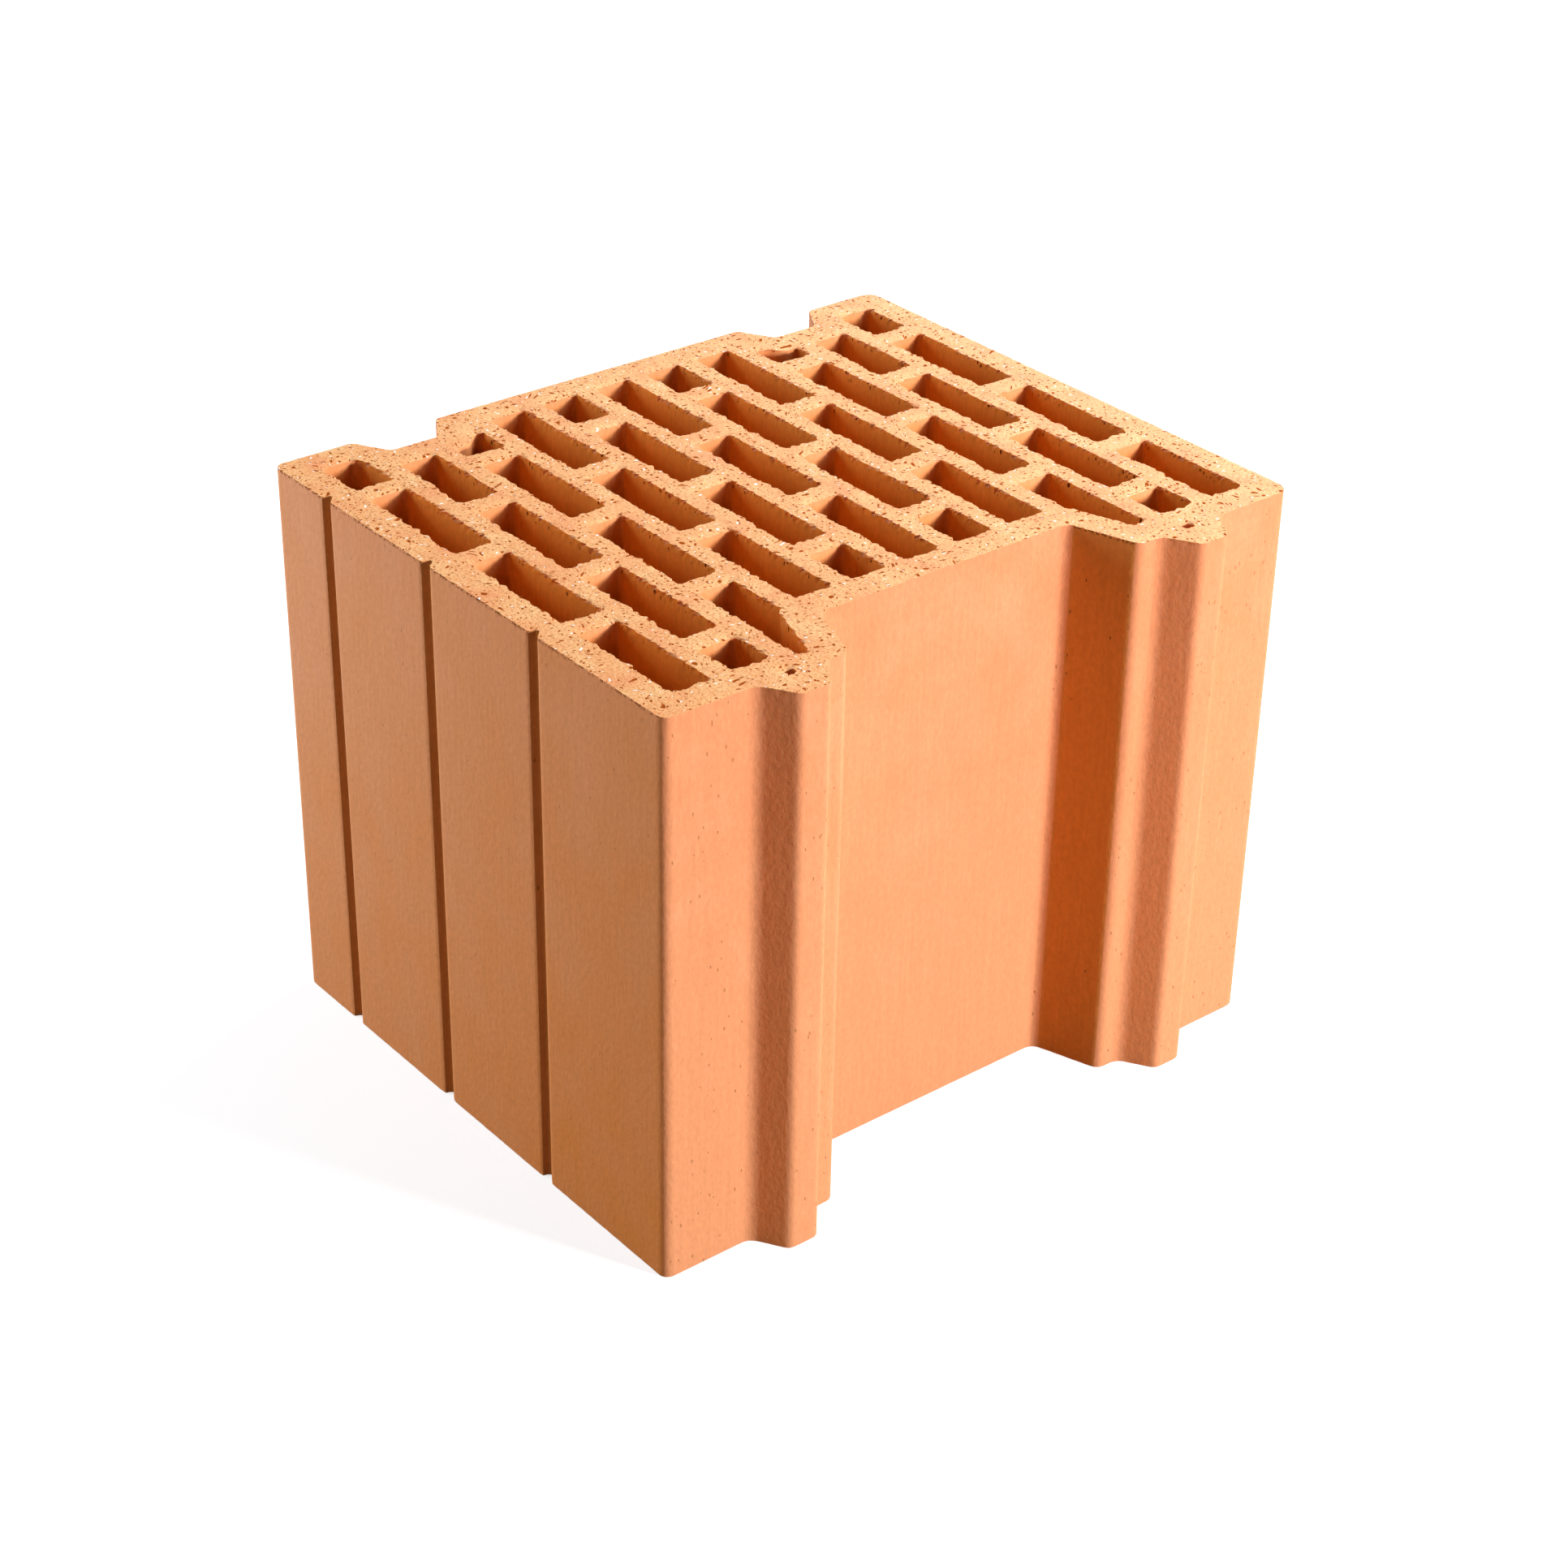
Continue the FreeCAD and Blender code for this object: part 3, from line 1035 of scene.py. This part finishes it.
    def tear_tree(self, materials: list[bpy.types.Material]) -> bpy.types.NodeTree:
        """Build the Geometry Nodes tree that tears the mouths and roughens the cut faces.

        Args:
            materials: The finishes' materials, in order.

        Returns:
            The tree, with its sizes as named inputs.
        """
        tree = bpy.data.node_groups.new("wire_cut_tearing", "GeometryNodeTree")
        tree.is_modifier = True
        tree.interface.new_socket("Geometry", in_out="INPUT", socket_type="NodeSocketGeometry")
        for name in self.tear_sizes():
            tree.interface.new_socket(name, in_out="INPUT", socket_type="NodeSocketFloat")
        tree.interface.new_socket("Geometry", in_out="OUTPUT", socket_type="NodeSocketGeometry")
        sizes = add_node(tree, "NodeGroupInput").outputs
        place = add_node(tree, "GeometryNodeInputPosition").outputs["Position"]
        kinds = {"rim": "FLOAT", "cut": "FLOAT", "open_side": "FLOAT_VECTOR", "finish": "INT"}
        told = {name: add_node(tree, "GeometryNodeInputNamedAttribute", {"data_type": kind},
                               {"Name": name}).outputs["Attribute"] for name, kind in kinds.items()}
        noises = {}
        for name in ("Wave Length", "Fringe Length", "Relief Length"):
            scale = add_node(tree, "ShaderNodeMath", {"operation": "DIVIDE"}, {0: 1.0, 1: sizes[name]})
            noises[name] = add_node(tree, "ShaderNodeTexNoise", {"noise_dimensions": "4D"},
                                    {"Vector": place, "W": sizes["Seed"], "Scale": scale.outputs["Value"],
                                     "Detail": 3.0, "Roughness": 0.6}).outputs["Fac"]
        outwards, drop = self.rim_tears(tree, sizes, told, noises)
        across = add_node(tree, "ShaderNodeVectorMath", {"operation": "SCALE"},
                          {0: told["open_side"], "Scale": outwards})
        relief = add_node(tree, "ShaderNodeMath", {"operation": "MULTIPLY"},
                          {0: noises["Relief Length"], 1: sizes["Relief"]})
        sunk = add_node(tree, "ShaderNodeMath", {"operation": "MULTIPLY_ADD"},
                        {0: relief.outputs["Value"], 1: told["cut"], 2: drop})
        height = add_node(tree, "ShaderNodeSeparateXYZ", None, {"Vector": place})
        bed, above_bed = self.bed_heights_mm
        inwards = add_node(tree, "ShaderNodeMapRange", None,
                           {"Value": height.outputs["Z"], "From Min": bed * MM, "From Max": above_bed * MM,
                            "To Min": 1.0, "To Max": -1.0})
        down = add_node(tree, "ShaderNodeMath", {"operation": "MULTIPLY"},
                        {0: sunk.outputs["Value"], 1: inwards.outputs["Result"]})
        lower = add_node(tree, "ShaderNodeCombineXYZ", None, {"Z": down.outputs["Value"]})
        offset = add_node(tree, "ShaderNodeVectorMath", {"operation": "ADD"},
                          {0: across.outputs["Vector"], 1: lower.outputs["Vector"]})
        moved = add_node(tree, "GeometryNodeSetPosition", None,
                         {"Geometry": sizes["Geometry"], "Offset": offset.outputs["Vector"]})
        result = add_node(tree, "GeometryNodeRealizeInstances", None,
                          {"Geometry": moved.outputs["Geometry"]}).outputs["Geometry"]
        for number, material in enumerate(materials):
            same = add_node(tree, "FunctionNodeCompare", {"data_type": "INT", "operation": "EQUAL"},
                            {2: told["finish"], 3: number})
            result = add_node(tree, "GeometryNodeSetMaterial", None,
                              {"Geometry": result, "Selection": same.outputs["Result"],
                               "Material": material}).outputs["Geometry"]
        add_node(tree, "NodeGroupOutput", None, {"Geometry": result})
        return tree

    def build(self, materials: list[bpy.types.Material]) -> bpy.types.Object:
        """Model the block, tear it and make the result a plain mesh.

        Args:
            materials: The finishes' materials, in order.

        Returns:
            The finished object.
        """
        block = self.base_mesh()
        tree = self.tear_tree(materials)
        modifier = block.modifiers.new("tearing", "NODES")
        modifier.node_group = tree
        sizes = self.tear_sizes()
        for item in tree.interface.items_tree:
            if item.in_out == "INPUT" and item.name in sizes:
                modifier[item.identifier] = sizes[item.name]
        seen = block.evaluated_get(bpy.context.evaluated_depsgraph_get())
        mesh = bpy.data.meshes.new_from_object(seen)
        block.modifiers.remove(modifier)
        block.data = mesh
        self.keep_in_box(mesh)
        mesh.shade_smooth()
        mesh.set_sharp_from_angle(angle=math.radians(self.smooth_below_degrees))
        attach(block, BODY)
        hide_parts(BLOCK_NODE)
        return block

    def keep_in_box(self, mesh: bpy.types.Mesh) -> None:
        """Hold every vertex inside the CAD box.

        Args:
            mesh: The mesh that is changed.
        """
        places = np.empty(len(mesh.vertices) * 3, np.float32)
        mesh.vertices.foreach_get("co", places)
        low, high = CAD_BOX
        kept = np.clip(places.reshape(-1, 3), np.array(low), np.array(high))
        mesh.vertices.foreach_set("co", kept.ravel().astype(np.float32))
        mesh.update()


@dataclass(frozen=True)
class SoftBox:
    """A soft lamp that looks at the block's middle, in degrees and metres."""

    name: str
    azimuth: float
    elevation: float
    distance: float
    width: float
    height: float
    level: float
    colour: str = "#FFFFFF"

    def build(self, middle: Vector) -> bpy.types.Object:
        """Hang the lamp.

        Args:
            middle: The point that it looks at.

        Returns:
            The lamp, whose power follows from its level and its distance.
        """
        lamp = bpy.data.lights.new(self.name, "AREA")
        lamp.shape = "RECTANGLE"
        lamp.size = self.width
        lamp.size_y = self.height
        lamp.energy = 4 * math.pi * self.distance ** 2 * self.level
        lamp.color = linear(self.colour)[:3]
        turn, rise = math.radians(self.azimuth), math.radians(self.elevation)
        away = Vector((math.cos(turn) * math.cos(rise), math.sin(turn) * math.cos(rise), math.sin(rise)))
        holder = put_in_scene(self.name, lamp)
        holder.location = middle + away * self.distance
        holder.rotation_euler = (-away).to_track_quat("-Z", "Y").to_euler()
        return holder


@dataclass
class Studio:
    """White floor and world, soft lamps and the camera, in metres where no unit is named."""

    floor_radius: float = 6.0
    floor_sides: int = 96
    floor_bounce: str = "#6E6052"
    floor_card: str = "#B4B4B4"
    floor_glow: float = 0.76
    glow_from: float = 0.15
    glow_full: float = 0.75
    white: Colour = (1.0, 1.0, 1.0, 1.0)
    ambient: float = 0.015
    # The dull sheet of painted shade under the block.
    sheet_step_mm: float = 2.0
    sheet_inset_mm: float = 1.5
    sheet_lift_mm: float = 0.05
    lamps: tuple[SoftBox, ...] = (
        SoftBox("key_lamp", 20.2, 15.5, 1.5, 0.18, 0.18, 0.98),
        SoftBox("side_lamp", -141, 14, 1.0, 0.7, 0.6, 0.73, "#DDEDFF"),
        SoftBox("fill_lamp", -88, 5, 1.2, 0.6, 0.3, 0.12, "#FFE6C4"),
        SoftBox("back_lamp", 88, 50, 1.3, 0.9, 0.7, 1.13, "#EEF5FF"),
    )
    camera_mm: tuple[float, float, float] = (853.8, -697.9, 753.2)
    aim_mm: tuple[float, float, float] = (0.25, -1.69, 105.1)
    roll_degrees: float = 1.05
    lens_mm: float = 72.74
    sensor_mm: float = 36.0

    def seen_directly(self, tree: bpy.types.NodeTree) -> Socket:
        """Make a mask that is 1 for rays from the camera, also by way of gloss or glass.

        Args:
            tree: The tree that gets the nodes.

        Returns:
            The mask.
        """
        path = add_node(tree, "ShaderNodeLightPath").outputs
        seen = path["Is Camera Ray"]
        for kind in ("Is Glossy Ray", "Is Transmission Ray"):
            seen = add_node(tree, "ShaderNodeMath", {"operation": "MAXIMUM"},
                            {0: seen, 1: path[kind]}).outputs["Value"]
        return seen

    def white_card(self) -> bpy.types.Material:
        """Make the floor's card: white to the eye apart from shadows, and darker in what it throws back.

        Returns:
            The new material.
        """
        material = empty_material("matt_white_card")
        tree = material.node_tree
        card = add_node(tree, "ShaderNodeBsdfDiffuse", None, {"Color": linear(self.floor_card)})
        place = add_node(tree, "ShaderNodeTexCoord").outputs["Object"]
        away = add_node(tree, "ShaderNodeVectorMath", {"operation": "LENGTH"}, {0: place})
        rise = add_node(tree, "ShaderNodeMapRange", {"interpolation_type": "SMOOTHSTEP"},
                        {"Value": away.outputs["Value"], "From Min": self.glow_from,
                         "From Max": self.glow_full, "To Min": self.floor_glow, "To Max": 1.0})
        glow = add_node(tree, "ShaderNodeEmission", None,
                        {"Color": self.white, "Strength": rise.outputs["Result"]})
        shown = add_node(tree, "ShaderNodeAddShader", None,
                         {0: card.outputs["BSDF"], 1: glow.outputs["Emission"]})
        bounce = add_node(tree, "ShaderNodeBsdfDiffuse", None, {"Color": linear(self.floor_bounce)})
        either = add_node(tree, "ShaderNodeMixShader", None,
                          {0: self.seen_directly(tree), 1: bounce.outputs["BSDF"],
                           2: shown.outputs["Shader"]})
        add_node(tree, "ShaderNodeOutputMaterial", None, {"Surface": either.outputs["Shader"]})
        return material

    def painted_shade_card(self) -> bpy.types.Material:
        """Make the card that lies under the block, as dark as what the floor throws back: painted shade.

        Returns:
            The new material.
        """
        material = empty_material("painted_shade_card")
        tree = material.node_tree
        dull = add_node(tree, "ShaderNodeBsdfDiffuse", None, {"Color": linear(self.floor_bounce)})
        add_node(tree, "ShaderNodeOutputMaterial", None, {"Surface": dull.outputs["BSDF"]})
        return material

    def floor(self) -> bpy.types.Object:
        """Lay the floor.

        Returns:
            The floor.
        """
        mesh = bmesh.new()
        bmesh.ops.create_circle(mesh, cap_ends=True, radius=self.floor_radius, segments=self.floor_sides)
        data = bpy.data.meshes.new("studio_floor")
        mesh.to_mesh(data)
        mesh.free()
        data.materials.append(self.white_card())
        floor = put_in_scene("studio_floor", data)
        floor.location.z = CAD_BOX[0].z
        return floor

    def painted_shade_sheet(self, outline: SectionEdge) -> bpy.types.Object:
        """Lay a dull sheet of painted shade under the block, so that no white floor shines up through its
        cores.

        Args:
            outline: The outline of the block's section.

        Returns:
            The sheet.
        """
        even = outline.resampled(self.sheet_step_mm * MM)
        corners = even.points - even.open_side() * self.sheet_inset_mm * MM
        data = bpy.data.meshes.new("painted_shade_sheet")
        data.from_pydata([(x, y, 0.0) for x, y in corners.tolist()], [], [range(len(corners))])
        data.materials.append(self.painted_shade_card())
        sheet = put_in_scene("painted_shade_sheet", data)
        sheet.location.z = CAD_BOX[0].z + self.sheet_lift_mm * MM
        return sheet

    def world(self) -> bpy.types.World:
        """Set the world: white to the eye, with a low even light.

        Returns:
            The world.
        """
        world = bpy.data.worlds.new("white_studio")
        world.use_nodes = True
        tree = world.node_tree
        tree.nodes.clear()
        strength = add_node(tree, "ShaderNodeMix", {"data_type": "FLOAT"},
                            {0: self.seen_directly(tree), 2: self.ambient, 3: 1.0})
        glow = add_node(tree, "ShaderNodeBackground", None,
                        {"Color": self.white, "Strength": strength.outputs[0]})
        add_node(tree, "ShaderNodeOutputWorld", None, {"Surface": glow.outputs["Background"]})
        bpy.context.scene.world = world
        return world

    def camera(self) -> bpy.types.Object:
        """Set the camera at the photograph's viewing angle.

        Returns:
            The camera.
        """
        data = bpy.data.cameras.new("camera")
        data.sensor_fit = "AUTO"
        data.sensor_width = self.sensor_mm
        data.lens = self.lens_mm
        camera = put_in_scene("camera", data)
        camera.location = Vector(self.camera_mm) * MM
        look = (Vector(self.aim_mm) - Vector(self.camera_mm)).to_track_quat("-Z", "Y")
        tilt = Quaternion((0, 0, 1), math.radians(self.roll_degrees))
        camera.rotation_mode = "QUATERNION"
        camera.rotation_quaternion = look @ tilt
        bpy.context.scene.camera = camera
        return camera

    def build(self, outline: SectionEdge) -> None:
        """Set floor, world, lamps and camera.

        Args:
            outline: The outline of the section of the block that stands there.
        """
        self.floor()
        # A dull sheet of painted shade under the block.
        self.painted_shade_sheet(outline)
        self.world()
        middle = (CAD_BOX[0] + CAD_BOX[1]) / 2
        for lamp in self.lamps:
            lamp.build(middle)
        self.camera()
        bpy.context.scene.view_settings.view_transform = "Standard"


def clay_materials() -> list[bpy.types.Material]:
    """Make the block's finishes, in the order of Finish.

    Returns:
        The materials.
    """
    # Brick clay torn by a wire and fired: pale and sandy to the eye, quite matt, full of rust-brown pores
    # and off-white lime grains, with painted light paling it towards +Y.
    cut = WireCutClay(
        name="wire_cut_fired_clay",
        colours=ClayColours(body="#F5B47A", deep="#F0A370", pale="#F8C388", pore_and_torn_shade="#A44A12"),
        roughness=0.9,
        gloss=0.03,
        patch_mm=16.0,
        grit="#D88246",
        # Painted light: the tint that the cut face pales to towards +Y.
        far_light_tint="#F8E4C0",
        grain="#FFF2E2",
    )
    # Brick clay that slid along the die: salmon to golden orange, closed and matt, faintly leathery, with
    # upright drag lines. Its salmon and golden tones on walls facing -Y are painted light and shade, and
    # the dark torn lips under the cut hold painted shade.
    skin = ExtrudedClay(
        name="extruded_fired_clay",
        colours=ClayColours(body="#E7966A", deep="#E39164", pale="#EA9C71", pore_and_torn_shade="#9A5A30"),
        roughness=0.75,
        gloss=0.02,
        patch_mm=28.0,
        # Paler towards the foot, and painted light and shade on walls that face -Y.
        below="#EB9D6F",
        painted_light_shade_high="#EBA376",
        painted_light_shade_low="#EA8F4A",
        pit="#CC8759",
    )
    # The same clay inside the cores: with few pits, a deeper orange from just below the mouth that is
    # painted shade, deep orange painted shade on walls that face -Y, and dark tears at the lip with painted
    # shade in them.
    core = ExtrudedClay(
        name="extruded_fired_clay_in_cores",
        colours=ClayColours(body="#E89B66", deep="#E4945C", pale="#ECA270", pore_and_torn_shade="#5E2A08"),
        roughness=0.85,
        gloss=0.0,
        patch_mm=18.0,
        # Painted shade: deeper orange from 2 mm to 12 mm below the mouth, and on walls that face -Y.
        below="#C47414",
        painted_light_shade_high="#E48C3C",
        painted_light_shade_low="#E88C36",
        pit="#7A3A10",
        below_from_mm=2.0,
        below_full_mm=12.0,
        pits=Spots(0.8, 9.0, 0.3, (1.0, 1.0, 3.0)),
        shaded_tears=Spots(1.3, 2.0, 0.4, (1.0, 1.0, 1.8)),
        torn_shade_depth_mm=4.5,
    )
    # The same clay in the hollows of the outside, browner and duller: painted shade in the keying grooves
    # and on the far flank of the +X end.
    hollow = ExtrudedClay(
        name="extruded_fired_clay_painted_shade",
        colours=ClayColours(body="#CE8A54", deep="#CA864E", pale="#D28E5A", pore_and_torn_shade="#7A4620"),
        roughness=0.85,
        gloss=0.0,
        patch_mm=28.0,
        below="#CE8A54",
        painted_light_shade_high="#E0964C",
        painted_light_shade_low="#E4964A",
        pit="#A8703C",
    )
    return [cut.build(), skin.build(), core.build(), hollow.build()]


def main() -> None:
    """Build the studio and the block."""
    logging.basicConfig(level=logging.INFO, format="%(message)s")
    clay_block = HollowClayBlock()
    Studio().build(clay_block.section_edges()[0])
    block = clay_block.build(clay_materials())
    log.info("%s: %d triangles", block.name, len(block.data.polygons))


if __name__ == "__main__":
    main()
